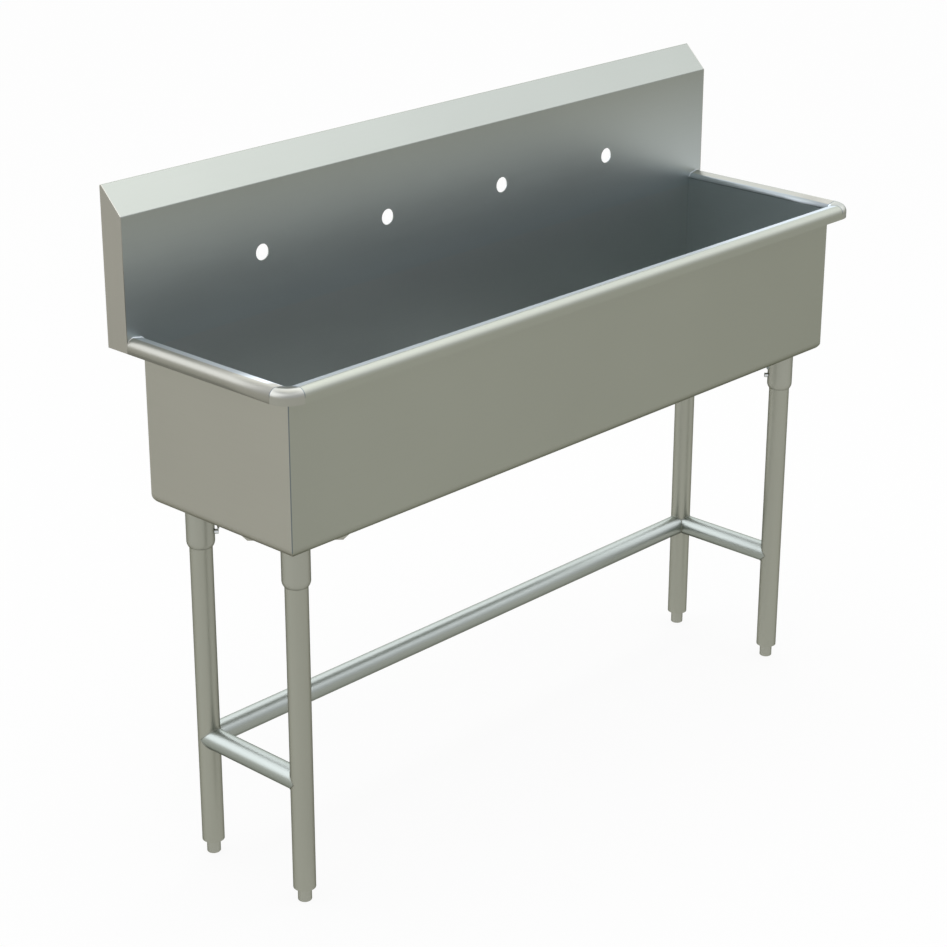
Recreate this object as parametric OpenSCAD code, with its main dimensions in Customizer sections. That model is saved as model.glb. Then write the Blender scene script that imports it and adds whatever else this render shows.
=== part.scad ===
// Compartment sink: a long stainless steel trough on four tube legs. It has a
// rolled rim on three sides and a tall splash with tap holes at the back.
// Millimetres, +Z up, the front faces -Y, and left is -X. The origin is on the
// floor, under the middle of the sink's length and depth.

/* [Overall size] */
// Length over the two side rims
overall_l = 1560; // [1000:10:2200]
// Depth from the front of the rim to the back of the splash
overall_d = 447; // [400:1:650]
// Height of the rim's crest above the floor
rim_h = 1009; // [880:1:1060]
// Height of the splash above the rim's crest
splash_h = 261; // [180:1:400]

/* [Trough] */
// Thickness of the stainless sheet
sheet_t = 1.5; // [1:0.1:2.5]
// Depth from the rim's crest to the trough's underside
trough_deep = 311.5; // [200:0.5:400]
// Outside radius of the coved bends along the bottom
bend_r = 19; // [10:0.5:40]
// Outside radius of the upright front corners
corner_r = 3.5; // [3:0.5:12]
// Inside radius of the sharp folds in the sheet
fold_r = 1.2; // [0.2:0.1:3]

/* [Rim] */
// Width of the rim outside the trough's wall
rim_w = 37.3; // [32:0.1:60]
// Drop from the crest to the skirt's lower edge
rim_drop = 25.4; // [20:0.1:40]
// Outside radius of the roll along the rim's outer edge
roll_r = 14; // [10:0.5:18]
// Radius of the bend from the wall to the ledge, on its showing side
ledge_r = 10; // [6:0.5:14]
// How far that bend's top lies below the crest
ledge_drop = 2.5; // [0:0.1:5]
// Radius of the side rims' sweep up into the splash
cove_r = 19; // [10:0.5:30]

/* [Splash] */
// Depth of the splash from its face to its back edge
splash_d = 50.8; // [40:0.1:80]
// Slope of the return along the splash's top, in degrees
return_a = 45; // [35:1:55]
// Height of the hem turned down behind the return
hem_h = 12.7; // [8:0.1:25]
// Number of tap holes
tap_holes = 4; // [1:1:6]
// Diameter of a tap hole
tap_hole_d = 30; // [20:0.5:36]
// Height of the tap holes above the rim's crest
tap_hole_up = 87; // [50:1:110]

/* [Legs and stretchers] */
// Outside diameter of the leg and stretcher tube
tube_d = 41.3; // [34:0.1:50]
// Wall of that tube
tube_t = 1.5; // [1:0.1:2.5]
// Distance from the trough's end wall to a leg's axis
leg_in_x = 59; // [45:1:80]
// Distance from the trough's front or back wall to a leg's axis
leg_in_y = 57; // [45:1:75]
// Height of the stretchers' axes above the floor
stretcher_h = 238.6; // [140:0.1:500]

/* [Sockets and gussets] */
// Length of a leg socket below its gusset
socket_l = 78; // [60:0.1:120]
// Wall of a leg socket
socket_t = 4.5; // [3.5:0.1:8]
// Radius of the socket's rounded lower end
nose_r = 17.5; // [12:0.5:30]
// Thickness of a gusset
gusset_t = 3; // [2:0.1:5]
// Distance from the trough's corner to the gusset's flange, along the diagonal
gusset_reach = 122; // [115:1:160]
// Drop of the gusset's flange below the trough
gusset_drop = 13.5; // [10:0.5:30]
// Diameter of the set screw in each socket
screw_d = 9.5; // [6:0.1:14]
// Height of the set screw above the socket's lower end
screw_up = 27.2; // [20:0.1:45]
// How far the set screw stands out of the socket
screw_proud = 6.5; // [3:0.1:12]

/* [Feet] */
// Diameter of an adjustable foot
foot_d = 25.4; // [18:0.1:30]
// Height of the leg's end above the floor
foot_show = 27; // [18:0.5:45]
// Length of the foot's body inside the leg
foot_in = 14; // [13:0.5:25]
// How far a foot screws up or down from its middle setting
foot_travel = 12.7; // [5:0.1:12.7]
// Diameter of the foot's threaded stud
stud_d = 12.7; // [8:0.1:16]
// Length of that stud
stud_l = 50; // [45:1:80]

/* [Waste] */
// Diameter of the waste fitting's flange in the trough's floor
flange_d = 114; // [100:1:130]
// Outside diameter of the waste fitting's cup
cup_d = 86; // [80:0.5:90]
// Depth of the cup below the trough's floor
cup_h = 45; // [40:0.5:60]
// Outside diameter of the threaded outlet
outlet_d = 48.3; // [32:0.1:60]
// Length of the threaded outlet below the cup
outlet_l = 19; // [12:0.5:40]
// Diameter of the lift-out strainer basket
basket_d = 76; // [60:0.5:78]
// Height of the basket's wall
basket_h = 26; // [15:0.5:34]
// Diameter of the holes in the basket
basket_hole_d = 5; // [3:0.5:6]

/* [Hidden] */
$fn = 48;

// Finishes, as the photograph shows them
outer_steel = "#8A8C7E";
inner_steel = "#5A6464";
rim_steel = "#D4D6D2";
cap_steel = "#98978A";
leg_steel = "#9C9C92";
bright_steel = "#C8C9C2";
insert_steel = "#A8A9A4";
chrome = "#B9BDBD";
plastic_black = "#1C1D1D";

// Overrun of cuts past the faces that they pass through
over = 1;
// Clearances: leg in its socket, coped tube ends, set screws, feet and basket
leg_gap = 0.25;
weld_gap = 0.1;
screw_gap = 0.05;
foot_gap = 0.6;
rest_gap = 0.3;
// How far the sweep of the side rims would run into the splash, cut flush
cove_bite = 0.1;
// How far the ledge lies below the bend and the roll, so that they cross it cleanly
dip = 0.01;

// Trough: outer faces of its walls, its underside and its middle
wall_x = overall_l / 2 - rim_w;
wall_front = -overall_d / 2 + rim_w;
face_y = overall_d / 2 - splash_d;
wall_back = face_y + sheet_t;
rear_y = overall_d / 2;
trough_z = rim_h - trough_deep;
trough_y = (wall_front + wall_back) / 2;
trough_w = wall_back - wall_front;
trough_l = 2 * wall_x;

// Rim section: u runs outward from the wall's outer face
ledge_u = ledge_r - sheet_t;
ledge_z = rim_h - ledge_drop - ledge_r;
roll_u = rim_w - roll_r;
roll_z = rim_h - roll_r;
skirt_z = rim_h - rim_drop;
rim_low = rim_h - 2 * rim_drop;
roll_way = [roll_u - ledge_u, roll_z - ledge_z];
ledge_a = atan2(roll_way.y, roll_way.x) + asin((roll_r - ledge_r) / norm(roll_way));
ledge_run = sqrt(roll_way * roll_way - pow(roll_r - ledge_r, 2));
sweep_y = face_y - cove_r + cove_bite;
sweep_z = rim_h + cove_r;

// Splash section: centres of the folds at the return's front and back
fold_out = fold_r + sheet_t;
top_z = rim_h + splash_h;
back_fold = [rear_y - fold_out, top_z - fold_out];
face_fold = [face_y + fold_out, back_fold.y - (splash_d - 2 * fold_out) * tan(return_a)];
tap_hole_z = rim_h + tap_hole_up;

// Legs, sockets and gussets
tube_r = tube_d / 2;
tube_bore_r = tube_r - tube_t;
leg_x = wall_x - leg_in_x;
leg_y = trough_w / 2 - leg_in_y;
socket_bore_r = tube_r + leg_gap;
socket_r = socket_bore_r + socket_t;
socket_top = trough_z - gusset_t;
socket_low = socket_top - socket_l;
nose_land = 0.3;
nose_end_r = socket_bore_r + nose_land;
nose_h = sqrt(nose_r * nose_r - pow(nose_end_r - socket_r + nose_r, 2));
leg_top_gap = 2;
screw_z = socket_low + screw_up;
screw_key_d = screw_d / 2;
gusset_bend_r = fold_r + gusset_t;

// Feet and their threaded inserts
foot_edge_r = 2;
foot_pocket_h = foot_in + foot_travel + foot_gap;
insert_web = 25;
insert_h = foot_pocket_h + insert_web;

// Waste fitting, measured from the top of the trough's floor
floor_z = trough_z + sheet_t;
cup_t = 1.5;
cup_r = cup_d / 2;
flange_t = 2;
hole_gap = 1;
outlet_t = 3;
gasket_t = 3;
gasket_w = 11;
nut_h = 9;
nut_w = 9;
nut_lugs = 6;
nut_lug = 5;
cup_bottom = floor_z - cup_h;
basket_t = 1;
basket_r = basket_d / 2;
basket_z = cup_bottom + cup_t + rest_gap;
knob_stem_r = 3;
knob_r = 9;
knob_h = 12;
knob_edge_r = 3;
// Rings of holes in the basket's base: share of its radius and count
base_ring_share = [[0.38, 6], [0.74, 12]];
wall_holes = 12;

// Placing children at one of the trough's corners, where +X and +Y then point
// inward. x_side is -1 at the left, y_side is -1 at the front.
module at_corner(x_side, y_side) {
    translate([x_side * trough_l / 2, trough_y + y_side * trough_w / 2, 0])
        mirror([x_side > 0 ? 1 : 0, 0, 0])
            mirror([0, y_side > 0 ? 1 : 0, 0])
                children();
}

// Trough

// A U-shaped outline, w wide, drawn in by inset, with coved lower corners
module cove_outline(w, inset) {
    top = ledge_z + over + inset;
    translate([-w / 2 + inset, trough_z + bend_r])
        square([w - 2 * inset, top - trough_z - bend_r]);
    translate([-w / 2 + bend_r, trough_z + inset])
        square([w - 2 * bend_r, top - trough_z - inset]);
    for (side = [-1, 1])
        translate([side * (w / 2 - bend_r), trough_z + bend_r])
            circle(bend_r - inset);
}

// The trough's plan, drawn in by inset, with round corners at the front
module plan_outline(inset) {
    round_r = corner_r - inset;
    front = -trough_w / 2 + corner_r;
    translate([-trough_l / 2 + inset, front])
        square([trough_l - 2 * inset, trough_w - corner_r - inset]);
    translate([-trough_l / 2 + corner_r, -trough_w / 2 + inset])
        square([trough_l - 2 * corner_r, trough_w / 2]);
    for (side = [-1, 1])
        translate([side * (trough_l / 2 - corner_r), front])
            circle(round_r);
}

// The space inside the trough's outer faces, drawn in by inset
module trough_fill(inset) {
    intersection() {
        rotate([90, 0, 90])
            linear_extrude(trough_l + 2 * over, center = true)
                cove_outline(trough_w, inset);
        rotate([90, 0, 0])
            linear_extrude(trough_w + 2 * over, center = true)
                cove_outline(trough_l, inset);
        translate([0, 0, trough_z - over])
            linear_extrude(ledge_z - trough_z + over + (inset > 0 ? over : 0))
                plan_outline(inset);
    }
}

module trough_shell() {
    difference() {
        trough_fill(0);
        trough_fill(sheet_t);
    }
}

// The end wall's share of the shell, which meets the wrap in 45 degree mitres
module end_mitre() {
    inner = trough_l / 2 - bend_r;
    outer = trough_l / 2 + over;
    side = trough_w / 2 - bend_r;
    translate([0, 0, trough_z - over])
        linear_extrude(ledge_z - trough_z + 2 * over)
            polygon([
                [inner, -side], [outer, -side - bend_r - over],
                [outer, side + bend_r + over], [inner, side]
            ]);
}

// Space behind the splash's face, above the rim's skirt
module above_back_wall() {
    translate([-trough_l / 2 - over, face_y, skirt_z])
        cube([trough_l + 2 * over, sheet_t + over, rim_h - skirt_z]);
}

module trough_wrap() {
    color(inner_steel)
        difference() {
            translate([0, trough_y, 0])
                difference() {
                    trough_shell();
                    end_mitre();
                    mirror([1, 0, 0])
                        end_mitre();
                    translate([0, 0, trough_z - over])
                        cylinder(h = sheet_t + 2 * over, r = cup_r + hole_gap);
                }
            above_back_wall();
        }
}

module end_panel() {
    color(outer_steel)
        difference() {
            translate([0, trough_y, 0])
                intersection() {
                    trough_shell();
                    end_mitre();
                }
            above_back_wall();
        }
}

module end_panel_left() {
    mirror([1, 0, 0])
        end_panel();
}

module end_panel_right() {
    end_panel();
}

// Rim

// The rim's outer form, drawn in by inset, with both legs run down past its skirt
module rim_outline(inset) {
    bend = ledge_r - inset;
    roll = roll_r - inset;
    translate([ledge_u, ledge_z]) {
        circle(bend);
        rotate(ledge_a)
            translate([0, -bend])
                square([ledge_run, 2 * bend - dip]);
    }
    translate([roll_u, roll_z])
        circle(roll);
    translate([ledge_u - bend, rim_low])
        square([bend, ledge_z - rim_low]);
    translate([ledge_u, rim_low])
        square([roll_u - ledge_u, min(ledge_z, roll_z) - rim_low]);
    translate([roll_u, rim_low])
        square([roll, roll_z - rim_low]);
}

// What the rim may fill: above wall_low over the wall, above the skirt's edge beyond it
module rim_reach(wall_low) {
    top = sweep_z + over;
    translate([-sheet_t - over, wall_low])
        square([ledge_u + sheet_t + over, top - wall_low]);
    translate([ledge_u, skirt_z])
        square([rim_w - ledge_u + over, top - skirt_z]);
}

module rim_section(wall_low) {
    intersection() {
        difference() {
            rim_outline(0);
            rim_outline(sheet_t);
        }
        rim_reach(wall_low);
    }
}

module rim_front() {
    color(rim_steel)
        translate([wall_x - corner_r, wall_front, 0])
            rotate([90, 0, -90])
                linear_extrude(2 * (wall_x - corner_r))
                    rim_section(ledge_z);
}

// The right rim: straight, then swept up into the splash and cut flush with its face
module rim_side() {
    color(rim_steel) {
        translate([wall_x, sweep_y, 0])
            rotate([90, 0, 0])
                linear_extrude(sweep_y - wall_front - corner_r)
                    rim_section(ledge_z);
        intersection() {
            translate([wall_x, sweep_y, sweep_z])
                rotate([0, 90, 0])
                    rotate_extrude(angle = 90)
                        translate([sweep_z, 0])
                            rotate(90)
                                rim_section(skirt_z);
            translate([wall_x, face_y, 0])
                rotate([90, 0, 0])
                    linear_extrude(cove_r + over)
                        rim_reach(ledge_z);
        }
        translate([wall_x + rim_w - sheet_t, sweep_y, skirt_z])
            cube([sheet_t, face_y - sweep_y, roll_z - skirt_z]);
    }
}

module rim_left() {
    mirror([1, 0, 0])
        rim_side();
}

module rim_right() {
    rim_side();
}

module rim_corner() {
    color(rim_steel)
        translate([wall_x - corner_r, wall_front + corner_r, 0])
            rotate([0, 0, -90])
                rotate_extrude(angle = 90)
                    translate([corner_r, 0])
                        rim_section(ledge_z);
}

module rim_corner_left() {
    mirror([1, 0, 0])
        rim_corner();
}

module rim_corner_right() {
    rim_corner();
}

// Splash

// The splash's end outline, drawn in by inset, from low up over the sloping return
module splash_outline(inset, low) {
    round_r = fold_out - inset;
    wide = splash_d - 2 * inset;
    translate(face_fold)
        circle(round_r);
    translate(back_fold)
        circle(round_r);
    translate([face_y + inset, low])
        square([wide, face_fold.y - low]);
    translate([back_fold.x, low])
        square([round_r, back_fold.y - low]);
    intersection() {
        translate(face_fold)
            rotate(return_a)
                translate([0, -splash_d])
                    square([norm(back_fold - face_fold), splash_d + round_r]);
        translate([face_y + inset, low])
            square([wide, top_z - low]);
    }
}

module splash_sheet() {
    half = overall_l / 2 - sheet_t;
    pitch = overall_l / (tap_holes + 1);
    color(inner_steel)
        difference() {
            rotate([90, 0, 90])
                linear_extrude(2 * half, center = true)
                    difference() {
                        splash_outline(0, skirt_z);
                        splash_outline(sheet_t, skirt_z - over);
                        translate([rear_y - sheet_t - over, skirt_z - over])
                            square([sheet_t + 2 * over, top_z - hem_h - skirt_z + over]);
                    }
            for (i = [1 : tap_holes])
                translate([i * pitch - overall_l / 2, face_y - over, tap_hole_z])
                    rotate([-90, 0, 0])
                        cylinder(h = sheet_t + 2 * over, r = tap_hole_d / 2);
        }
}

module splash_cap() {
    color(cap_steel)
        translate([overall_l / 2 - sheet_t, 0, 0])
            rotate([90, 0, 90])
                linear_extrude(sheet_t)
                    splash_outline(0, skirt_z);
}

module splash_cap_left() {
    mirror([1, 0, 0])
        splash_cap();
}

module splash_cap_right() {
    splash_cap();
}

// Gussets and leg sockets

// Section of a gusset along its diagonal, with its flange folded down
module gusset_section() {
    difference() {
        gusset_outline(0);
        gusset_outline(gusset_t);
    }
}

module gusset_outline(inset) {
    edge = gusset_reach - gusset_bend_r;
    translate([edge, -gusset_bend_r])
        circle(gusset_bend_r - inset);
    translate([0, -gusset_drop - inset])
        square([gusset_reach - inset, gusset_drop + inset - gusset_bend_r]);
    translate([0, -gusset_drop - inset])
        square([edge, gusset_drop]);
}

module gusset(x_side, y_side) {
    hypotenuse = gusset_reach * sqrt(2);
    half = gusset_reach - bend_r * sqrt(2);
    color(outer_steel)
        at_corner(x_side, y_side)
            translate([0, 0, trough_z])
                intersection() {
                    rotate([90, 0, 45])
                        linear_extrude(2 * hypotenuse, center = true)
                            gusset_section();
                    translate([0, 0, -gusset_drop - over])
                        linear_extrude(gusset_drop + 2 * over)
                            polygon([
                                [bend_r, bend_r],
                                [hypotenuse - bend_r + over, bend_r],
                                [bend_r, hypotenuse - bend_r + over]
                            ]);
                    rotate([90, 0, 135])
                        linear_extrude(hypotenuse)
                            polygon([
                                [-half, 0], [-half + gusset_drop, -gusset_drop],
                                [half - gusset_drop, -gusset_drop], [half, 0]
                            ]);
                }
}

module gusset_front_left() {
    gusset(-1, -1);
}

module gusset_front_right() {
    gusset(1, -1);
}

module gusset_rear_left() {
    gusset(-1, 1);
}

module gusset_rear_right() {
    gusset(1, 1);
}

// A cylinder along the inward diagonal from a leg's axis, at the set screw's height
module along_screw(r, from, to) {
    translate([leg_in_x, leg_in_y, screw_z])
        rotate([0, 90, 45])
            translate([0, 0, from])
                cylinder(h = to - from, r = r);
}

module socket_section() {
    difference() {
        union() {
            translate([0, socket_low + nose_h])
                square([socket_r, socket_l - nose_h]);
            intersection() {
                translate([socket_r - nose_r, socket_low + nose_h])
                    circle(nose_r);
                translate([0, socket_low])
                    square([socket_r, nose_h + over]);
            }
        }
        translate([0, socket_low - over])
            square([socket_bore_r, socket_l + 2 * over]);
    }
}

module socket(x_side, y_side) {
    color(leg_steel)
        at_corner(x_side, y_side)
            difference() {
                translate([leg_in_x, leg_in_y, 0])
                    rotate_extrude()
                        socket_section();
                along_screw(screw_d / 2 + screw_gap, 0, socket_r + over);
            }
}

module socket_front_left() {
    socket(-1, -1);
}

module socket_front_right() {
    socket(1, -1);
}

module socket_rear_left() {
    socket(-1, 1);
}

module socket_rear_right() {
    socket(1, 1);
}

module set_screw() {
    tip = tube_r + screw_gap;
    head = socket_r + screw_proud;
    difference() {
        along_screw(screw_d / 2, tip, head);
        translate([leg_in_x, leg_in_y, screw_z])
            rotate([0, 90, 45])
                translate([0, 0, head - screw_key_d])
                    cylinder(h = screw_key_d + over, r = screw_key_d / 2, $fn = 6);
    }
}

module set_screws() {
    color(chrome)
        for (x_side = [-1, 1], y_side = [-1, 1])
            at_corner(x_side, y_side)
                set_screw();
}

// Legs and stretchers

module tube(length) {
    difference() {
        cylinder(h = length, r = tube_r);
        translate([0, 0, -over])
            cylinder(h = length + 2 * over, r = tube_bore_r);
    }
}

module leg(x_side, y_side) {
    color(leg_steel)
        at_corner(x_side, y_side)
            translate([leg_in_x, leg_in_y, foot_show])
                tube(socket_top - leg_top_gap - foot_show);
}

module leg_front_left() {
    leg(-1, -1);
}

module leg_front_right() {
    leg(1, -1);
}

module leg_rear_left() {
    leg(-1, 1);
}

module leg_rear_right() {
    leg(1, 1);
}

// The space of a leg, with a clearance, which copes a stretcher's end to it
module leg_cope(x, y) {
    translate([x, y, stretcher_h - tube_d])
        cylinder(h = 2 * tube_d, r = tube_r + weld_gap);
}

// The space on one side of the upright plane through a leg along its inward
// diagonal, which mitres two stretchers against each other
module leg_mitre(x, y, turn) {
    translate([x, y, stretcher_h])
        rotate([0, 0, turn])
            translate([-weld_gap / 2, -tube_d, -tube_d])
                cube(2 * tube_d);
}

module stretcher_side() {
    color(bright_steel)
        translate([0, trough_y, 0])
            difference() {
                translate([leg_x, leg_y, stretcher_h])
                    rotate([90, 0, 0])
                        tube(2 * leg_y);
                leg_cope(leg_x, leg_y);
                leg_cope(leg_x, -leg_y);
                leg_mitre(leg_x, leg_y, 135);
            }
}

module stretcher_left() {
    mirror([1, 0, 0])
        stretcher_side();
}

module stretcher_right() {
    stretcher_side();
}

module stretcher_rear() {
    color(bright_steel)
        translate([0, trough_y, 0])
            difference() {
                translate([-leg_x, leg_y, stretcher_h])
                    rotate([0, 90, 0])
                        tube(2 * leg_x);
                leg_cope(leg_x, leg_y);
                leg_cope(-leg_x, leg_y);
                leg_mitre(leg_x, leg_y, -45);
                leg_mitre(-leg_x, leg_y, -135);
            }
}

// Feet

module foot_insert(x_side, y_side) {
    color(insert_steel)
        at_corner(x_side, y_side)
            translate([leg_in_x, leg_in_y, foot_show])
                difference() {
                    cylinder(h = insert_h, r = tube_bore_r);
                    translate([0, 0, -over])
                        cylinder(h = foot_pocket_h + over, r = foot_d / 2 + foot_gap);
                    cylinder(h = insert_h + over, r = stud_d / 2 + foot_gap);
                }
}

module foot_insert_front_left() {
    foot_insert(-1, -1);
}

module foot_insert_front_right() {
    foot_insert(1, -1);
}

module foot_insert_rear_left() {
    foot_insert(-1, 1);
}

module foot_insert_rear_right() {
    foot_insert(1, 1);
}

module foot_section() {
    foot_h = foot_show + foot_in;
    translate([0, foot_edge_r])
        square([foot_d / 2, foot_h - foot_edge_r]);
    square([foot_d / 2 - foot_edge_r, foot_edge_r]);
    translate([foot_d / 2 - foot_edge_r, foot_edge_r])
        circle(foot_edge_r, $fn = 24);
    translate([0, foot_h])
        square([stud_d / 2, stud_l]);
}

module foot(x_side, y_side) {
    color(leg_steel)
        at_corner(x_side, y_side)
            translate([leg_in_x, leg_in_y, 0])
                rotate_extrude()
                    foot_section();
}

module foot_front_left() {
    foot(-1, -1);
}

module foot_front_right() {
    foot(1, -1);
}

module foot_rear_left() {
    foot(-1, 1);
}

module foot_rear_right() {
    foot(1, 1);
}

// Waste fitting, under the middle of the trough

module ring(r_in, r_out, h) {
    difference() {
        cylinder(h = h, r = r_out);
        translate([0, 0, -over])
            cylinder(h = h + 2 * over, r = r_in);
    }
}

module drain_section() {
    cup_in = cup_r - cup_t;
    outlet_in = outlet_d / 2 - outlet_t;
    translate([cup_in, 0])
        square([flange_d / 2 - flange_t - cup_in, flange_t]);
    intersection() {
        translate([flange_d / 2 - flange_t, 0])
            circle(flange_t, $fn = 24);
        translate([flange_d / 2 - flange_t, 0])
            square(flange_t);
    }
    translate([cup_in, -cup_h])
        square([cup_t, cup_h + flange_t]);
    translate([outlet_in, -cup_h])
        square([cup_r - outlet_in, cup_t]);
    translate([outlet_in, -cup_h - outlet_l])
        square([outlet_t, outlet_l + cup_t]);
}

module drain_body() {
    color(chrome)
        translate([0, trough_y, floor_z])
            rotate_extrude()
                drain_section();
}

module drain_gasket() {
    color(plastic_black)
        translate([0, trough_y, trough_z - gasket_t])
            ring(cup_r, cup_r + gasket_w, gasket_t);
}

module drain_locknut() {
    nut_r = cup_r + nut_w;
    color(chrome)
        translate([0, trough_y, trough_z - gasket_t - nut_h])
            difference() {
                union() {
                    ring(cup_r, nut_r, nut_h);
                    for (i = [1 : nut_lugs])
                        rotate(i * 360 / nut_lugs)
                            translate([nut_r - nut_lug / 2, -nut_lug, 0])
                                cube([nut_lug * 1.5, 2 * nut_lug, nut_h]);
                }
            }
}

module basket() {
    color(chrome)
        translate([0, trough_y, basket_z])
            difference() {
                cylinder(h = basket_h, r = basket_r);
                translate([0, 0, basket_t])
                    cylinder(h = basket_h, r = basket_r - basket_t);
                for (ring_share = base_ring_share)
                    for (i = [1 : ring_share[1]])
                        rotate(i * 360 / ring_share[1])
                            translate([ring_share[0] * basket_r, 0, -over])
                                cylinder(h = basket_t + 2 * over, r = basket_hole_d / 2, $fn = 16);
                for (i = [1 : wall_holes])
                    rotate(i * 360 / wall_holes)
                        translate([0, 0, basket_h / 2])
                            rotate([0, 90, 0])
                                cylinder(h = basket_r + over, r = basket_hole_d / 2, $fn = 16);
            }
}

module knob_section() {
    stem_h = basket_h + knob_edge_r - basket_t;
    square([knob_stem_r, stem_h + over]);
    translate([0, stem_h])
        square([knob_r - knob_edge_r, knob_h]);
    translate([0, stem_h + knob_edge_r])
        square([knob_r, knob_h - 2 * knob_edge_r]);
    for (z = [knob_edge_r, knob_h - knob_edge_r])
        translate([knob_r - knob_edge_r, stem_h + z])
            circle(knob_edge_r, $fn = 24);
}

module basket_knob() {
    color(plastic_black)
        translate([0, trough_y, basket_z + basket_t])
            rotate_extrude($fn = 32)
                knob_section();
}

trough_wrap();
end_panel_left();
end_panel_right();
rim_front();
rim_left();
rim_right();
rim_corner_left();
rim_corner_right();
splash_sheet();
splash_cap_left();
splash_cap_right();
gusset_front_left();
gusset_front_right();
gusset_rear_left();
gusset_rear_right();
socket_front_left();
socket_front_right();
socket_rear_left();
socket_rear_right();
set_screws();
leg_front_left();
leg_front_right();
leg_rear_left();
leg_rear_right();
stretcher_left();
stretcher_right();
stretcher_rear();
foot_insert_front_left();
foot_insert_front_right();
foot_insert_rear_left();
foot_insert_rear_right();
foot_front_left();
foot_front_right();
foot_rear_left();
foot_rear_right();
drain_body();
drain_gasket();
drain_locknut();
basket();
basket_knob();
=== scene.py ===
# %% [markdown]
# # A stainless steel compartment sink, dressed for its picture
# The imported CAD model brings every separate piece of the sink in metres, already in place: the trough, its
# rolled rim, the tall splash, four tube legs with their feet and the waste fitting. This lesson gives each
# piece the finish that the real one has, adds the weld beads that hold the frame together, and sets up a
# plain white studio with the camera where the photographer stood.

import math

import bmesh
import bpy
from mathutils import Matrix, Vector


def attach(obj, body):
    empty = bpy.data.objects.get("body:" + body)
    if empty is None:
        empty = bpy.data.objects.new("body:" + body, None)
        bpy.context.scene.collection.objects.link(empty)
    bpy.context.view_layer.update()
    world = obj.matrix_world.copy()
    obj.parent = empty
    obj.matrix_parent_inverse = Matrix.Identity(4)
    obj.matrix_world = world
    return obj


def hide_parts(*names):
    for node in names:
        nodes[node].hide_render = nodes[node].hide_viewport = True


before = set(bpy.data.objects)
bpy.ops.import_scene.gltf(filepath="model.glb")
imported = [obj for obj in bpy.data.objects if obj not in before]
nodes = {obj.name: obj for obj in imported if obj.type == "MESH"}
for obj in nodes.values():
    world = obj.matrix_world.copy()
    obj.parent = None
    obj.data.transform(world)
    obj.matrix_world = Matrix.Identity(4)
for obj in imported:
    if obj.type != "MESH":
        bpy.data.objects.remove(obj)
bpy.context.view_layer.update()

# %% [markdown]
# ## Where the photographer stood
# A camera could be placed by eye, but one that is worked out from straight edges is exact. Here the edges
# along the sink's length, depth and height gave the direction and the lens, and the thickness of a tube gave
# the distance. The lens is 4.7 m from the sink's middle, turned 47 degrees from square on and looking down 22
# degrees. A long lens at that distance keeps upright edges almost parallel.

# %% Which way the camera looks
TURN, DOWN, ROLL = (math.radians(a) for a in (-46.849, 21.872, 0.114))

forward = Vector((-math.sin(TURN) * math.cos(DOWN), math.cos(TURN) * math.cos(DOWN), -math.sin(DOWN)))
level_right = Vector((math.cos(TURN), math.sin(TURN), 0))
level_up = level_right.cross(forward)
right = level_right * math.cos(ROLL) + level_up * math.sin(ROLL)
up = level_up * math.cos(ROLL) - level_right * math.sin(ROLL)
print("the camera looks towards", [round(v, 2) for v in forward])

# %% The camera and its lens
STOOD_AT = Vector((-3.2226, -2.9209, 2.3319))
FOCUS_PIXELS, PICTURE_PIXELS, SENSOR_MM = 2432.15, 947, 36
SEES_UP_TO = 60

camera = bpy.data.objects.new("camera", bpy.data.cameras.new("camera"))
camera.data.sensor_width = SENSOR_MM
camera.data.lens = FOCUS_PIXELS / PICTURE_PIXELS * SENSOR_MM
camera.data.clip_end = SEES_UP_TO
camera.matrix_world = Matrix.Translation(STOOD_AT) @ Matrix((right, up, -forward)).transposed().to_4x4()
bpy.context.scene.collection.objects.link(camera)
bpy.context.scene.camera = camera
print(f"lens {camera.data.lens:.1f} mm")

# %% [markdown]
# ## Helpers for materials
# A colour picked from a reference is an sRGB value, while the renderer adds light in linear values, so one
# function turns the one into the other. A second one starts an empty material. The third adds one shader
# node, sets its fields and joins its inputs. Nodes could be made line by line instead, but this keeps each
# material below short enough to read as a recipe.

# %% Colours
def linear(hex_colour):
    """An sRGB hex value as a linear RGBA colour."""
    shares = [int(hex_colour[i : i + 2], 16) / 255 for i in (1, 3, 5)]
    return (*(s / 12.92 if s <= 0.04045 else ((s + 0.055) / 1.055) ** 2.4 for s in shares), 1)


print("middle grey is", [round(share, 3) for share in linear("#808080")])

# %% Materials and their nodes
# A Mix node has a set of sockets for each kind of value, and these are the numbers of the ones used here.
VECTOR_A, VECTOR_B, VECTOR_RESULT = 4, 5, 1
COLOUR_A, COLOUR_B, COLOUR_RESULT = 6, 7, 2


def new_material(name):
    """An empty material, its node tree and its output node."""
    material = bpy.data.materials.new(name)
    material.use_nodes = True
    tree = material.node_tree
    tree.nodes.clear()
    return material, tree, tree.nodes.new("ShaderNodeOutputMaterial")


def add(tree, kind, inputs, **fields):
    """Adds a node, sets its fields, and gives each named input a value or another node's output."""
    made = tree.nodes.new(kind)
    for field, value in fields.items():
        setattr(made, field, value)
    for name, value in inputs.items():
        if isinstance(value, bpy.types.NodeSocket):
            tree.links.new(value, made.inputs[name])
        else:
            made.inputs[name].default_value = value
    return made


print("helpers ready, and", len(bpy.data.materials), "materials so far")

# %% [markdown]
# ## The grain of satin stainless steel
# Almost the whole sink is stainless sheet and tube with a satin polish, made by belts of fine grit that all
# run one way. The eye gets a soft reflection, very fine lines along the grain, and slow cloudy changes where
# the belt pressed more or less. A grit line is about 0.05 mm wide, far too fine for this picture, so the
# lines here are drawn about 2 mm apart and kept faint. Modelled scratches would cost far too many faces, and
# a wave pattern would repeat, so a noise that is stretched along the grain makes them. It reads Object
# coordinates, which are metres on the real sheet. The clouds are a second noise some 300 mm across.

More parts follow.
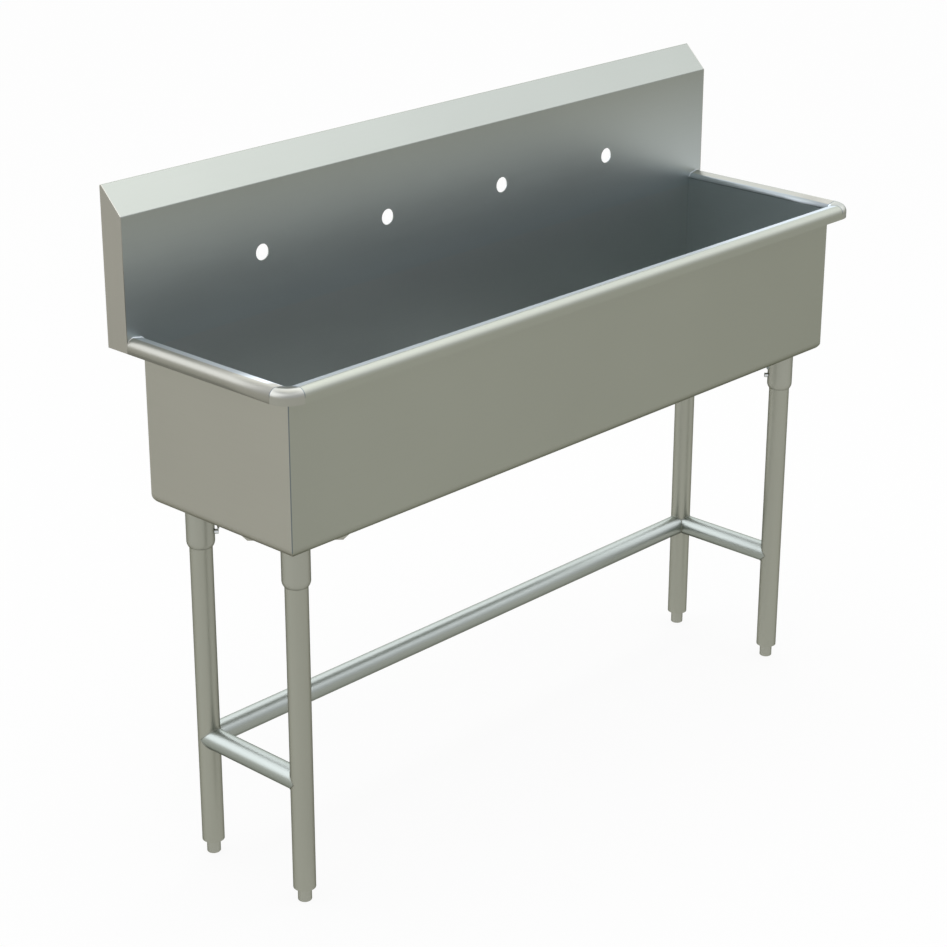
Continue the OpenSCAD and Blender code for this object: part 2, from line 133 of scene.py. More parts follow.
# %% The grain of a polishing belt
MM = 0.001
LINE_GAP, LINE_LENGTH, CLOUD = 2 * MM, 180 * MM, 300 * MM
# A noise seldom leaves the range between these two, so it is stretched from here to the values wanted.
NOISE_RANGE = {"From Min": 0.3, "From Max": 0.7}


def belt_grain(tree, place, grain):
    """Fine lines along one axis of the sheet, or an even fine mottle where grain is no axis."""
    closeness = [1 / LINE_GAP] * 3
    if grain in "XYZ":
        closeness["XYZ".index(grain)] = 1 / LINE_LENGTH
    stretched = add(tree, "ShaderNodeMapping", {"Vector": place, "Scale": closeness}).outputs["Vector"]
    noise = {"Vector": stretched, "Scale": 1, "Detail": 3, "Roughness": 0.6}
    return add(tree, "ShaderNodeTexNoise", noise).outputs["Fac"]


print(f"a line every {LINE_GAP / MM:.0f} mm, {LINE_LENGTH / MM:.0f} mm long")

# %% [markdown]
# ## Painted light inside the bowl
# The faces that look into the bowl, and the rim's ledge, get a paler colour than the outside. It is painted
# light:
# it lifts the shade that the bowl casts on itself, adds a painted highlight on the ledge, and fades out up
# the splash. Each side could have a material slot of its own, but both belong to one sheet and the CAD's mesh
# isn't to be cut up, so the material tells them apart. A point lies on the inside where the surface faces the
# middle of the bowl, and the dot product of the normal with the way to that middle says so.

# %% Inside and outside of the bowl
BOWL_MIDDLE, MOUTH_MIDDLE = (0, -0.006, 0.86), (0, -0.006, 1.0)
# The paler colour painted as light inside the bowl fades out between these two heights, in metres.
PAINTED_LIGHT_END, PAINTED_LIGHT_START = 1.25, 1.0
SURELY_INSIDE = 0.02


def inside_bowl_painted_light(tree, place, normal, middle):
    """Where the paler colour is painted as light: 1 on the faces that look at the middle, fading to 0 up the
    splash, and 0 on the outside.
    """
    inward = add(tree, "ShaderNodeVectorMath", {0: middle, 1: place}, operation="SUBTRACT")
    both = {0: inward.outputs["Vector"], 1: normal}
    facing = add(tree, "ShaderNodeVectorMath", both, operation="DOT_PRODUCT").outputs["Value"]
    inside = {"Value": facing, "From Max": SURELY_INSIDE}
    turned_in = add(tree, "ShaderNodeMapRange", inside).outputs["Result"]
    height = add(tree, "ShaderNodeSeparateXYZ", {"Vector": place}).outputs["Z"]
    fade = {"Value": height, "From Min": PAINTED_LIGHT_END, "From Max": PAINTED_LIGHT_START}
    fading = add(tree, "ShaderNodeMapRange", fade).outputs["Result"]
    return add(tree, "ShaderNodeMath", {0: turned_in, 1: fading}, operation="MULTIPLY").outputs["Value"]


print("the polish ends", PAINTED_LIGHT_END, "m above the floor")

# %% [markdown]
# ## Ground weld lines
# The rim's corners are welded in between its straight lengths, and the bowl's upright corners are welded from
# the floor to the rim. A polisher grinds such a weld flush, but it stays visible as a line about 2 mm wide
# and a little darker, because its metal has a finer, burnt grain. A raised bead would be wrong here, as
# nothing stands up any more, so the lines are only a colour, drawn from the distance to the planes in which
# the welds lie.

# %% Weld lines
CORNER_X, CORNER_Y = 0.7392, -0.1827
RIM_LINE_HALF, CORE_SHARE = 1.1 * MM, 0.4
BOWL_LINE_START, BOWL_LINE_FULL = 1.3 * MM, 2.2 * MM
ROLL_FROM, ROLL_SURE = 0.992, 0.998


def beside(tree, value, middle):
    """1 where value is next to middle, with soft sides."""
    away = add(tree, "ShaderNodeMath", {0: value, 1: middle}, operation="SUBTRACT").outputs["Value"]
    distance = add(tree, "ShaderNodeMath", {0: away}, operation="ABSOLUTE").outputs["Value"]
    soft = {"From Min": RIM_LINE_HALF * CORE_SHARE, "From Max": RIM_LINE_HALF, "To Min": 1, "To Max": 0}
    return add(tree, "ShaderNodeMapRange", {"Value": distance, **soft}).outputs["Result"]


def rim_lines(tree, across, axes):
    """1 along the two welds of each rim corner, over the ledge and the roll but not down the skirt."""
    ends = {0: beside(tree, across, CORNER_X), 1: beside(tree, axes["Y"], CORNER_Y)}
    either = add(tree, "ShaderNodeMath", ends, operation="MAXIMUM").outputs["Value"]
    above = {"Value": axes["Z"], "From Min": ROLL_FROM, "From Max": ROLL_SURE}
    on_top = add(tree, "ShaderNodeMapRange", above).outputs["Result"]
    return add(tree, "ShaderNodeMath", {0: either, 1: on_top}, operation="MULTIPLY").outputs["Value"]


def bowl_lines(tree, across, axes):
    """1 along the upright front corners of the bowl, which lie past both planes at once."""
    past_x = add(tree, "ShaderNodeMath", {0: across, 1: CORNER_X}, operation="SUBTRACT").outputs["Value"]
    past_y = add(tree, "ShaderNodeMath", {0: CORNER_Y, 1: axes["Y"]}, operation="SUBTRACT").outputs["Value"]
    nearer = add(tree, "ShaderNodeMath", {0: past_x, 1: past_y}, operation="MINIMUM").outputs["Value"]
    ends = {"Value": nearer, "From Min": BOWL_LINE_START, "From Max": BOWL_LINE_FULL}
    return add(tree, "ShaderNodeMapRange", ends).outputs["Result"]


def weld_lines(tree, place, which):
    """1 along the ground welds of the rim or of the bowl, the same on the left and the right."""
    axes = add(tree, "ShaderNodeSeparateXYZ", {"Vector": place}).outputs
    across = add(tree, "ShaderNodeMath", {0: axes["X"]}, operation="ABSOLUTE").outputs["Value"]
    lines = rim_lines if which == "rim" else bowl_lines
    return lines(tree, across, axes)


print("welds at x", CORNER_X, "and y", CORNER_Y)

# %% [markdown]
# ## One recipe for all the satin steel
# Metal has no colour of its own under its reflection, so Base Color is how much of each light it sends back,
# here a grey with a little olive. Roughness spreads the reflection, and the grain moves both by a per cent or
# two. The Specular Tint of a metal is its colour at grazing angles. Satin steel loses light there, to the far
# sides of its own scratches, so the tint is darker than white and draws the fine dark outline of every tube.
# A separate material for each piece would be easier to tune, but one recipe keeps all the pieces of one metal
# alike.

# %% Colour of the steel
WELD_TINT = (0.38, 0.45, 0.55)


def steel_colour(tree, where, colour, inner, welds, middle):
    """The steel's colour, with the paler colour painted as light inside the bowl and the ground welds where
    they are asked for.
    """
    metal = linear(colour)[:3]
    # Painted light: a paler colour on the faces that look into the bowl.
    if inner:
        painted_light_share = inside_bowl_painted_light(tree, where["Object"], where["Normal"], middle)
        sides = {"Factor": painted_light_share, VECTOR_A: metal, VECTOR_B: linear(inner)[:3]}
        metal = add(tree, "ShaderNodeMix", sides, data_type="VECTOR").outputs[VECTOR_RESULT]
    if welds:
        burnt = add(tree, "ShaderNodeVectorMath", {0: metal, 1: WELD_TINT}, operation="MULTIPLY")
        lines = weld_lines(tree, where["Object"], welds)
        joined = {"Factor": lines, VECTOR_A: metal, VECTOR_B: burnt.outputs["Vector"]}
        metal = add(tree, "ShaderNodeMix", joined, data_type="VECTOR").outputs[VECTOR_RESULT]
    return metal


print("a weld sends back", WELD_TINT, "of what the sheet does")

# %% Satin steel
LINE_DEPTH, CLOUD_DEPTH, ROUGHNESS_DEPTH = 0.012, 0.015, 0.02
SCRATCH_DEPTH, SCRATCH_STRENGTH = 0.005 * MM, 0.1
SATIN, SATIN_EDGE = 0.36, "#8C8C84"


def satin_steel(name, colour, grain, roughness=SATIN,
                inner=None, middle=BOWL_MIDDLE, welds=None, edge=SATIN_EDGE):
    """Belt-polished steel, with the axis of its grain, the paler colour painted as light inside the bowl and
    the welds it shows.
    """
    material, tree, output = new_material(name)
    where = add(tree, "ShaderNodeTexCoord", {}).outputs
    scratch = belt_grain(tree, where["Object"], grain)
    cloud = {"Vector": where["Object"], "Scale": 1 / CLOUD, "Detail": 2}
    clouds = add(tree, "ShaderNodeTexNoise", cloud).outputs["Fac"]
    shades = {}
    for i, (noise, depth) in enumerate(((scratch, LINE_DEPTH), (clouds, CLOUD_DEPTH))):
        ends = {"Value": noise, **NOISE_RANGE, "To Min": 1 - depth, "To Max": 1 + depth}
        shades[i] = add(tree, "ShaderNodeMapRange", ends).outputs["Result"]
    shade = add(tree, "ShaderNodeMath", shades, operation="MULTIPLY").outputs["Value"]
    metal = steel_colour(tree, where, colour, inner, welds, middle)
    tinted = add(tree, "ShaderNodeVectorMath", {0: metal, "Scale": shade}, operation="SCALE")
    lines = {"Height": scratch, "Strength": SCRATCH_STRENGTH, "Distance": SCRATCH_DEPTH}
    relief = add(tree, "ShaderNodeBump", lines)
    ends = {"To Min": roughness - ROUGHNESS_DEPTH, "To Max": roughness + ROUGHNESS_DEPTH}
    rough = add(tree, "ShaderNodeMapRange", {"Value": scratch, **NOISE_RANGE, **ends})
    steel = add(tree, "ShaderNodeBsdfPrincipled", {
        "Base Color": tinted.outputs["Vector"], "Metallic": 1, "Specular Tint": linear(edge),
        "Roughness": rough.outputs["Result"], "Normal": relief.outputs["Normal"]})
    tree.links.new(steel.outputs["BSDF"], output.inputs["Surface"])
    return material


print("the grain moves the brightness by", LINE_DEPTH, "and the clouds by", CLOUD_DEPTH)

# %% [markdown]
# ## Sheets
# Each sheet is polished along its longer way before it is bent, so the grain runs along the trough and the
# splash, across the end panels and gussets, and upright on the plates that close the splash's ends. The grain
# could be read from a UV map, but every sheet here lies along an axis, so the axis is enough.

# %% Steel sheets
# The trough: satin outside, and a paler colour painted inside the bowl as painted light.
sheet_along = satin_steel("satin_sheet_grain_along", "#929487", "X", inner="#B3B7B3", welds="bowl")
# End panels and gussets: the same polish, running from front to back, painted a little lighter for the
# brighter light on the ends, and paler inside the bowl as painted light.
sheet_across_painted_lighter = satin_steel("satin_sheet_grain_across", "#9E9D91", "Y", inner="#B8C2C0", welds="bowl")
# The splash: a paler colour painted low down as painted light, fading out towards the top.
sheet_splash = satin_steel("satin_splash_grain_along", "#8A8D83", "X", inner="#B0B7B5")
# The plates on the splash's ends: small offcuts, polished upright, painted a little lighter for the brighter
# light on the ends.
sheet_upright_painted_lighter = satin_steel("satin_sheet_grain_upright", "#9C9A8F", "Z")
print("sheets:", sum(m.name.startswith(("satin_sheet", "satin_splash")) for m in bpy.data.materials))

# %% [markdown]
# ## The rolled rim
# The rim is rolled from strips of the same steel and rubbed by hand once it is welded on, and its edges stay
# pale at grazing angles. Its ledge, which faces the bowl, is painted paler than its outer roll, as a painted
# highlight.
# The corners are pressed, and their weld lines show best. One material could serve the whole rim, but its
# grain turns with each length.

# %% Steel of the rim
# The two lip colours are painted highlights, laid on the faces of the rim that look into the bowl. The rim's
# base colours also differ a little between its lengths, as painted light.
LIP_PAINTED_HIGHLIGHT, DIM_LIP_PAINTED_HIGHLIGHT = "#B4BAB8", "#888E8C"
RIM = {"welds": "rim", "edge": "#B8BCBA"}
LEDGE = {"inner": LIP_PAINTED_HIGHLIGHT, "middle": MOUTH_MIDDLE}

# Along the front: the broadest and softest highlight, from being rubbed lengthways, widened by a painted
# highlight over the ledge and part of the roll.
rim_along = satin_steel("satin_rim_grain_along", "#959789", "X", roughness=0.45, **LEDGE, **RIM)
# The left side: the same strip, with its grain from front to back, and the same painted highlight on its
# ledge.
rim_left_finish = satin_steel("satin_left_rim_grain_across", "#949387", "Y", roughness=0.45, **LEDGE, **RIM)
# The right side: a little smoother, with a dimmer painted highlight where it faces the bowl.
rim_right_finish = satin_steel("satin_right_rim_grain_across", "#949387", "Y", inner=DIM_LIP_PAINTED_HIGHLIGHT, **RIM)
# The corners: no grain at all, from a small pad turned every way, and a sharper highlight, with a painted
# highlight on the faces that look into the bowl.
rim_round = satin_steel("satin_rim_hand_blended", "#97978C", "none", roughness=0.34, inner=LIP_PAINTED_HIGHLIGHT, **RIM)
print("rim steels:", sum("rim" in m.name for m in bpy.data.materials))

# %% [markdown]
# ## Tubes and turned parts
# Legs and stretchers are stainless tube that was polished on rollers, with fine lines along the tube. Sockets
# and feet are turned on a lathe, which leaves rings too fine to see from here, so they get an even mottle. An
# anisotropic reflection would also stretch the highlights, but the fine lines do that well enough at this
# distance.

# %% Steel tubes and turned steel
# The three tubes are one steel. Their slightly different colours are painted light, each set so the tube
# reads as lit where it stands.
# Legs: the roughest of the tubes, with a broad dull highlight.
tube_upright = satin_steel("satin_tube_grain_upright", "#999A8D", "Z", roughness=0.4)
# The rear stretcher: long and level, so it catches the sky as one line.
tube_along = satin_steel("satin_tube_grain_along", "#9A9F96", "X", roughness=0.4)
# The side stretchers: the same tube, a little smoother.
tube_across = satin_steel("satin_tube_grain_across", "#949990", "Y", roughness=0.38)
# Sockets and feet: turned steel with a plain soft shine.
turned = satin_steel("turned_steel", "#9B9C90", "none", roughness=0.38)
print("satin steels made:", sum(m.name.startswith("satin") for m in bpy.data.materials))

# %% [markdown]
# ## Small metals
# The set screws are bright drawn steel, the waste fitting is pressed and buffed steel, the inserts in the
# legs are zinc plated, and a weld bead is brushed by hand until it is clean but still dull. All four are
# plain metals that differ in colour and roughness alone, so the same recipe makes them, without a grain.

# %% Small metals
# Bright drawn steel: small sharp reflections.
screws = satin_steel("bright_steel_screws", "#C6C9C6", "none", roughness=0.14)
# Buffed steel: clear, slightly soft reflections.
waste = satin_steel("polished_steel_waste", "#A6A9A4", "none", roughness=0.2)
# Zinc plate: a pale, flat grey.
zinc = satin_steel("zinc_plated_insert", "#A8A9A4", "none", roughness=0.4)
# Brushed weld: darker than the tube beside it, also at its edges.
weld = satin_steel("brushed_weld_bead", "#85867A", "none", roughness=0.4, edge="#74746C")
print("small metals:", screws.name, waste.name, zinc.name, weld.name)

# %% [markdown]
# ## Rubber and plastic
# The gasket under the waste is moulded rubber, dull and warm black. The basket's knob is moulded plastic,
# smoother and neutral black. What tells both from painted metal is the fine pebble that the mould leaves. It
# is far too small to model, so a noise of about a millimetre lifts the surface by hundredths of one.

# %% Dark moulded parts
PEBBLE_HEIGHT, PEBBLE_STRENGTH, PEBBLE_ROUGHNESS = 0.05 * MM, 0.3, 0.05
MOULDED_IOR = 1.5


def moulded(name, colour, roughness, grain_mm):
    """A dark moulded part: plain colour with the fine pebble of its mould."""
    material, tree, output = new_material(name)
    place = add(tree, "ShaderNodeTexCoord", {}).outputs["Object"]
    noise = {"Vector": place, "Scale": 1 / (grain_mm * MM), "Detail": 3}
    pebble = add(tree, "ShaderNodeTexNoise", noise).outputs["Fac"]
    bumps = {"Height": pebble, "Strength": PEBBLE_STRENGTH, "Distance": PEBBLE_HEIGHT}
    relief = add(tree, "ShaderNodeBump", bumps)
    ends = {"To Min": roughness - PEBBLE_ROUGHNESS, "To Max": roughness + PEBBLE_ROUGHNESS}
    rough = add(tree, "ShaderNodeMapRange", {"Value": pebble, **NOISE_RANGE, **ends})
    body = add(tree, "ShaderNodeBsdfPrincipled", {
        "Base Color": linear(colour), "IOR": MOULDED_IOR,
        "Roughness": rough.outputs["Result"], "Normal": relief.outputs["Normal"]})
    tree.links.new(body.outputs["BSDF"], output.inputs["Surface"])
    return material


rubber = moulded("moulded_rubber", "#24221F", roughness=0.75, grain_mm=1.2)
plastic = moulded("moulded_black_plastic", "#1C1D1D", roughness=0.35, grain_mm=0.8)
print("dark parts:", rubber.name, plastic.name)

# %% [markdown]
# ## Every piece gets its finish
# The CAD names its nodes after the pieces, with the side at the end, so the start of a name is enough to tell
# what a piece is made of. A list of all 40 names would say the same at more length. The starts are tried in
# order, so the longer ones come before the shorter ones that they begin with.

# %% Finishes by name
FINISH = {
    "trough_wrap": sheet_along, "splash_sheet": sheet_splash, "splash_cap_": sheet_upright_painted_lighter,
    "end_panel_": sheet_across_painted_lighter, "gusset_": sheet_across_painted_lighter,
    "rim_front": rim_along, "rim_corner_": rim_round,
    "rim_left": rim_left_finish, "rim_right": rim_right_finish,
    "leg_": tube_upright, "stretcher_rear": tube_along, "stretcher_": tube_across,
    "socket_": turned, "foot_insert_": zinc, "foot_": turned, "set_screws": screws,
    "drain_gasket": rubber, "drain_": waste, "basket_knob": plastic, "basket": waste,
}
for name, node in sorted(nodes.items()):
    finish = next(material for start, material in FINISH.items() if name.startswith(start))
    for slot in node.material_slots:
        slot.material = finish
print(len(nodes), "pieces finished")

# %% [markdown]
# ## Side rims that meet the splash
# Each side rim runs straight back to the splash and is welded to it there, and the weld is ground to a small
# rounded fillet, so the polished rim ends in a clean line with its own reflection in the splash. The CAD rim
# turns up in a wider cove that the photograph doesn't show, so a new piece stands for it. A bevel can't make
# the join, because the splash is another piece. But a ball rolled along it, touching the rim and the splash,
# leaves the shape of a ground fillet. So each point of the rim's section gets a rib: a straight run along the
# side, then a quarter of the ball's circle. A flat grid is moved onto these ribs, cut flush with the sink's
# end, and given the thickness of the sheet.

# %% The rim's sizes
WALL_X, END_X, FACE_Y, SHEET = 742.7 * MM, 780 * MM, 172.7 * MM, 1.5 * MM
LIP_OUT, LIP_Z, LIP_R = 8.5 * MM, 996.5 * MM, 10 * MM
ROLL_OUT, ROLL_Z, ROLL_R = 23.3 * MM, 995 * MM, 14 * MM
SKIRT_Z, FILLET = 983.6 * MM, 1.5 * MM
# The ledge rises a little on its way out, so it faces this angle, turned from straight out.
LEDGE_FACES = math.radians(99.81)
LIP_STEPS, ROLL_STEPS, FILLET_STEPS = 12, 24, 6
LEDGE_SHARES = (0.1, 0.9)
print(f"the rim stands {(END_X - WALL_X) / MM:.1f} mm out from the trough's wall")

# %% The rim's section, from the bowl over the ledge and the roll
def steps(first, last, count):
    """Evenly spaced values from first to last."""
    return [first + (last - first) * i / count for i in range(count + 1)]


def bend(out, height, radius, angles):
    """Points of a bend round a middle, each with its way out, its height and the angle that it faces."""
    return [(out + radius * math.cos(a), height + radius * math.sin(a), a) for a in angles]


lip = bend(LIP_OUT, LIP_Z, LIP_R, steps(math.pi, LEDGE_FACES, LIP_STEPS))
roll = bend(ROLL_OUT, ROLL_Z, ROLL_R, steps(LEDGE_FACES, 0, ROLL_STEPS))
ledge = [tuple(p + (q - p) * share for p, q in zip(lip[-1], roll[0])) for share in LEDGE_SHARES]
section = lip + ledge + roll
print(len(section), "points round the section")

# %% Ribs along the side and round the fillet
RUN_SHARES = steps(0, 0.9, 3) + [0.99]
TURN_UP = steps(0, math.pi / 2, FILLET_STEPS)


def on_rib(point, rib):
    """A place on the rim's surface: point of the section, rib from the front corner to the splash."""
    out, height, faces = point
    foot = FACE_Y - FILLET
    if rib < len(RUN_SHARES):
        return Vector((WALL_X + out, CORNER_Y + (foot - CORNER_Y) * RUN_SHARES[rib], height))
    turn = TURN_UP[rib - len(RUN_SHARES)]
    lift = FILLET * (1 - math.cos(turn))
    on_ball = foot + FILLET * math.sin(turn)
    return Vector((WALL_X + out + lift * math.cos(faces), on_ball, height + lift * math.sin(faces)))


print(len(RUN_SHARES) + len(TURN_UP), "ribs from the corner to the splash")

# %% The rim's outer skin
ALIKE, ON_PLANE = 1e-6, 1e-7


def rim_skin():
    """The right rim's outer skin: a grid on the ribs, cut at the sink's end, with a skirt below the cut."""
    across, along = len(section) - 1, len(RUN_SHARES) + len(TURN_UP) - 1
    skin = bmesh.new()
    bmesh.ops.create_grid(skin, x_segments=across, y_segments=along, size=1)
    for corner in skin.verts:
        point, rib = (round((c + 1) / 2 * n) for c, n in zip(corner.co, (across, along)))
        corner.co = on_rib(section[point], rib)
    everything = skin.verts[:] + skin.edges[:] + skin.faces[:]
    end = {"plane_co": (END_X, 0, 0), "plane_no": (1, 0, 0), "clear_outer": True}
    bmesh.ops.bisect_plane(skin, geom=everything, dist=ON_PLANE, **end)
    cut = [e for e in skin.edges if e.is_boundary and all(abs(v.co.x - END_X) < ALIKE for v in e.verts)]
    hung = bmesh.ops.extrude_edge_only(skin, edges=cut)["geom"]
    for corner in (v for v in hung if isinstance(v, bmesh.types.BMVert)):
        corner.co.z = SKIRT_Z
    bmesh.ops.remove_doubles(skin, verts=skin.verts, dist=ALIKE)
    bmesh.ops.dissolve_degenerate(skin, edges=skin.edges, dist=ALIKE)
    return skin


print("the skirt hangs down to", SKIRT_Z, "m")

# %% The side rims
SHARP_FROM = math.radians(35)


def side_rim(name, side, finish):
    """The rim of one side, of sheet, replacing its CAD node. side is 1 on the right and -1 on the left."""
    skin = rim_skin()
    bmesh.ops.scale(skin, vec=(side, 1, 1), verts=skin.verts)
    bmesh.ops.recalc_face_normals(skin, faces=skin.faces)
    top = max(skin.faces, key=lambda f: f.calc_area() * abs(f.normal.z))
    if top.normal.z < 0:
        bmesh.ops.reverse_faces(skin, faces=skin.faces)
    mesh = bpy.data.meshes.new(name)
    skin.to_mesh(mesh)
    skin.free()
    mesh.shade_smooth()
    mesh.set_sharp_from_angle(angle=SHARP_FROM)
    mesh.materials.append(finish)
    rim = bpy.data.objects.new(name, mesh)
    bpy.context.scene.collection.objects.link(rim)
    wall = rim.modifiers.new("sheet", "SOLIDIFY")
    wall.thickness, wall.offset = SHEET, -1
    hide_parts(name.removesuffix("_ground"))
    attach(rim, "frame")
    return rim


SIDES = (("rim_left_ground", -1, rim_left_finish), ("rim_right_ground", 1, rim_right_finish))
for name, side, finish in SIDES:
    print(name, len(side_rim(name, side, finish).data.polygons), "faces")

# %% [markdown]
# ## Weld beads of the leg frame
# Each stretcher's end is cut to the round of the leg and welded all the way round. Where two tubes of the
# same diameter meet square on, the joint runs up and over like a saddle: at an angle a round the stretcher it
# lies tube radius times sin a from the leg's axis. At the rear legs two stretchers also meet each other along
# a mitre, where that distance is the radius times cos a. A boolean of the tubes would find the same line,
# with a ragged mesh. A curve through such points, with a round section, is a clean bead, and its thickness
# swells every few millimetres, once for each drop of filler wire.

# %% Sizes of the tube frame and its beads
TUBE_R, STRETCHER_Z = 20.65 * MM, 238.6 * MM
LEG_X, FRONT_Y, REAR_Y = 683.7 * MM, -129.2 * MM, 117.2 * MM
BEAD_R, DROP_GAP, POINTS_A_DROP = 1.0 * MM, 3.2 * MM, 4
# A drop is this much thicker than the bead, and this many tube radii go once round the saddle.
DROP_SWELL, SADDLE_RADII = 0.14, 7.6
print(f"a drop of filler every {DROP_GAP / MM:.1f} mm")

# %% A bead where two tubes meet
def tube_bead(name, leg, towards, mitre=0, ends=(0, 360)):
    """A bead round a stretcher's end. mitre is 1 or -1 on the side where another stretcher meets it."""
    closed = ends == (0, 360)
    side = Vector((-towards.y, towards.x, 0))
    count = round((ends[1] - ends[0]) / 360 * TUBE_R * SADDLE_RADII / (DROP_GAP / POINTS_A_DROP))
    curve = bpy.data.curves.new(name, "CURVE")
    curve.dimensions, curve.bevel_depth, curve.bevel_resolution = "3D", BEAD_R, 2
    curve.use_fill_caps = not closed
    line = curve.splines.new("POLY")
    line.use_cyclic_u = closed
    line.points.add(count - 1 if closed else count)
    for i, point in enumerate(line.points):
        a = math.radians(ends[0] + (ends[1] - ends[0]) * i / count)
        out = max(abs(math.sin(a)), mitre * math.cos(a)) if mitre else abs(math.sin(a))
        from_axis = towards * out + side * math.cos(a) + Vector((0, 0, math.sin(a)))
        point.co = (*(leg + from_axis * TUBE_R), 1)
        point.radius = 1 + DROP_SWELL * math.cos(i * 2 * math.pi / POINTS_A_DROP)
    bead = bpy.data.objects.new(name, curve)
    bpy.context.scene.collection.objects.link(bead)
    bead.data.materials.append(weld)
    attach(bead, "frame")


print("a bead is", 2 * BEAD_R / MM, "mm thick")

# %% Beads of both sides
for word, s in (("left", -1), ("right", 1)):
    front, rear = (Vector((s * LEG_X, y, STRETCHER_Z)) for y in (FRONT_Y, REAR_Y))
    tube_bead(f"weld_front_{word}", front, Vector((0, 1, 0)))
    tube_bead(f"weld_rear_{word}", rear, Vector((0, -1, 0)), mitre=-s)
    inward = Vector((-s, 0, 0))
    tube_bead(f"weld_cross_{word}", rear, inward, ends=(45, 315) if s > 0 else (-135, 135))

# %% [markdown]
# ## A white floor
# A product picture stands on white paper that runs on without an edge. A curved backdrop could make it, but a
# wide flat floor under a white sky does the same from every side. Paper that is only lit would come out grey.
# So for rays that an eye or a reflection follows, most of the floor shines as plain white, and the rest is
# matt paint that keeps the sink's shadow. The soft light that the floor sends up comes from the matt paint
# alone.

# %% Rays that see
def seen_rays(tree):
    """1 for rays that a viewer, or a reflection, follows, and 0 for rays that only carry soft light."""
    path = add(tree, "ShaderNodeLightPath", {}).outputs
    either = {0: path["Is Camera Ray"], 1: path["Is Glossy Ray"]}
    shown = add(tree, "ShaderNodeMath", either, operation="MAXIMUM").outputs["Value"]
    glass = {0: shown, 1: path["Is Transmission Ray"]}
    return add(tree, "ShaderNodeMath", glass, operation="MAXIMUM").outputs["Value"]


print("camera, glossy and transmission rays see the white")

# %% The floor
FLOOR_HALF, WHITE_SHARE = 15, 0.9

paper = bmesh.new()
bmesh.ops.create_grid(paper, x_segments=1, y_segments=1, size=FLOOR_HALF)
mesh = bpy.data.meshes.new("studio_floor")
paper.to_mesh(mesh)
paper.free()
floor = bpy.data.objects.new("studio_floor", mesh)
bpy.context.scene.collection.objects.link(floor)

floor_paint, tree, output = new_material("matt_white_floor")
matt = add(tree, "ShaderNodeBsdfDiffuse", {"Color": linear("#F2F2F2")}).outputs["BSDF"]
white = add(tree, "ShaderNodeEmission", {"Color": linear("#FFFFFF"), "Strength": 1}).outputs["Emission"]
share = add(tree, "ShaderNodeMath", {0: seen_rays(tree), 1: WHITE_SHARE}, operation="MULTIPLY")
mixed = add(tree, "ShaderNodeMixShader", {"Fac": share.outputs["Value"], 1: matt, 2: white})
tree.links.new(mixed.outputs["Shader"], output.inputs["Surface"])
floor.data.materials.append(floor_paint)
print("a floor of", 2 * FLOOR_HALF, "m")

# %% [markdown]
# ## A bright tent over and behind the sink
# Metal shows what it reflects, so the room matters more to it than the lamps. A photographer hangs white
# cloth over and behind such a sink, which puts broad soft highlights on the rims and tubes and leaves the
# inside of the bowl dark. Cloth could be modelled, but it would have to be hidden from the camera. Here the
# world gives it instead: brightest towards the rear and up, fading all round, dark straight overhead, and a
# little cool. Only reflections see it. The camera sees plain white, and the soft light comes from an even,
# nearly white sky.

# %% The tent's shape
TENT_TOWARDS = Vector((0.15, 0.65, 0.7)).normalized()
TENT_START, TENT_FULL, TENT_EXTRA = -0.35, 0.5, 1.9
OVERHEAD_START, OVERHEAD_FULL = 0.68, 0.97
HORIZON_START, HORIZON_FULL = -0.02, 0.12

world = bpy.data.worlds.new("white_studio")
bpy.context.scene.world = world
world.use_nodes = True
tree = world.node_tree
tree.nodes.clear()
towards = add(tree, "ShaderNodeTexCoord", {}).outputs["Generated"]
facing = add(tree, "ShaderNodeVectorMath", {0: towards, 1: TENT_TOWARDS}, operation="DOT_PRODUCT")
height = add(tree, "ShaderNodeSeparateXYZ", {"Vector": towards}).outputs["Z"]
fades = (
    {"Value": facing.outputs["Value"], "From Min": TENT_START, "From Max": TENT_FULL, "To Max": TENT_EXTRA},
    {"Value": height, "From Min": OVERHEAD_START, "From Max": OVERHEAD_FULL, "To Min": 1, "To Max": 0},
    {"Value": height, "From Min": HORIZON_START, "From Max": HORIZON_FULL},
)
smooth = {"interpolation_type": "SMOOTHSTEP"}
cloth, below_top, risen = (add(tree, "ShaderNodeMapRange", f, **smooth).outputs["Result"] for f in fades)
tent = add(tree, "ShaderNodeMath", {0: cloth, 1: below_top, 2: 1}, operation="MULTIPLY_ADD").outputs["Value"]
sky = add(tree, "ShaderNodeMix", {"Factor": risen, "A": 1, "B": tent}, data_type="FLOAT").outputs["Result"]
print("the tent's brightest reflection is", 1 + TENT_EXTRA, "times white")

# %% Who sees the tent
SOFT_LIGHT, WHITE, COOL_WHITE = 0.95, (1, 1, 1, 1), (1, 1.02, 1.15, 1)

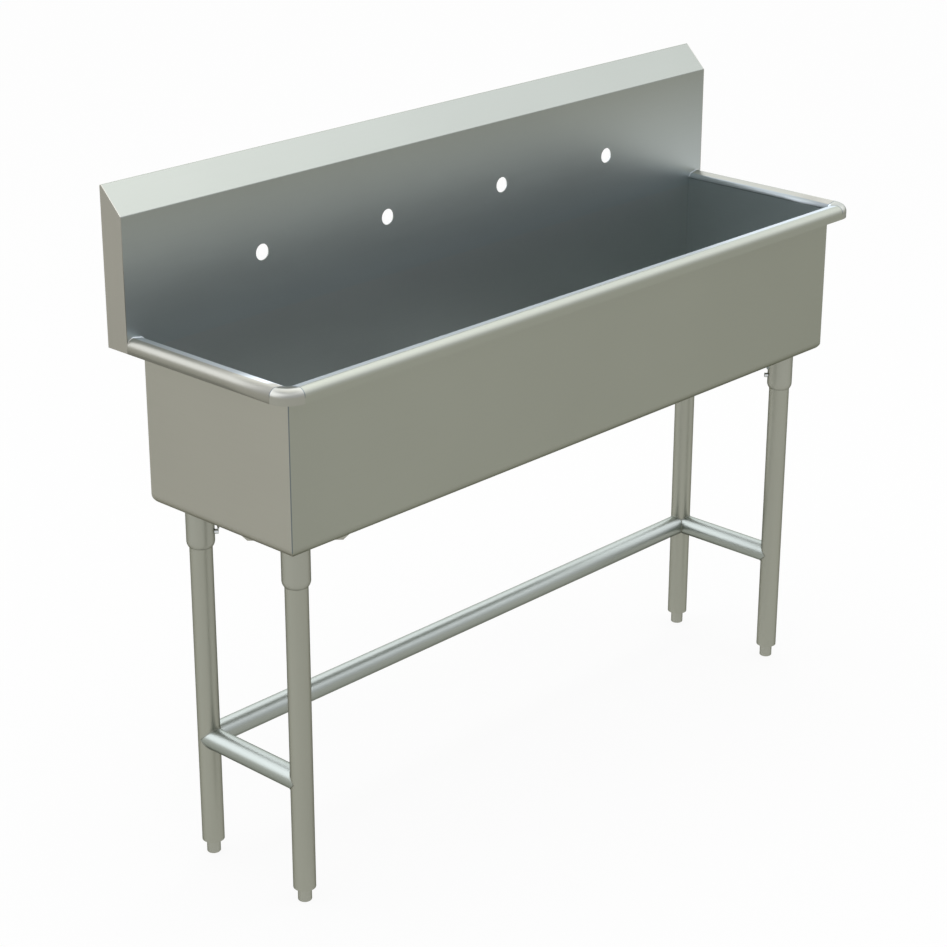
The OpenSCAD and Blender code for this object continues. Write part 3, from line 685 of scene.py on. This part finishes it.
glossy = add(tree, "ShaderNodeLightPath", {}).outputs["Is Glossy Ray"]
shown = add(tree, "ShaderNodeMix", {"Factor": glossy, "A": 1, "B": sky}, data_type="FLOAT").outputs["Result"]
levels = {"Factor": seen_rays(tree), "A": SOFT_LIGHT, "B": shown}
strength = add(tree, "ShaderNodeMix", levels, data_type="FLOAT").outputs["Result"]
cool = add(tree, "ShaderNodeMath", {0: risen, 1: glossy}, operation="MULTIPLY").outputs["Value"]
hues = {"Factor": cool, COLOUR_A: WHITE, COLOUR_B: COOL_WHITE}
hue = add(tree, "ShaderNodeMix", hues, data_type="RGBA").outputs[COLOUR_RESULT]
walls = add(tree, "ShaderNodeBackground", {"Color": hue, "Strength": strength})
tree.links.new(walls.outputs["Background"], tree.nodes.new("ShaderNodeOutputWorld").inputs["Surface"])
world.cycles.sampling_method = "NONE"
print("the soft light of the sky is", SOFT_LIGHT, "of white")

# %% [markdown]
# ## One softbox overhead
# A white sky alone gives hardly any shadow. A large softbox straight above, which points down as every new
# lamp does, adds a faint one under the trough and brightens the sloping top of the splash. A smaller lamp
# would draw a hard shadow and a hot spot on every tube.

# %% The softbox
SOFTBOX_AT, SOFTBOX_WIDTH, SOFTBOX_DEPTH = Vector((0.2, 0.2, 3.6)), 3.0, 2.4
# How bright a mirror would show the lamp, where 1 is white.
SOFTBOX_SHOWS = 1.1

lamp = bpy.data.objects.new("softbox_overhead", bpy.data.lights.new("softbox_overhead", "AREA"))
lamp.data.shape, lamp.data.size, lamp.data.size_y = "RECTANGLE", SOFTBOX_WIDTH, SOFTBOX_DEPTH
lamp.data.energy = SOFTBOX_SHOWS * math.pi * SOFTBOX_WIDTH * SOFTBOX_DEPTH
lamp.location = SOFTBOX_AT
lamp.visible_camera = False
bpy.context.scene.collection.objects.link(lamp)
print(f"a lamp of {lamp.data.energy:.0f} W")

# %% [markdown]
# ## Finish
# The Standard view shows a colour as it was written, with no film curve over it.

# %% Finish
bpy.context.scene.view_settings.view_transform = "Standard"
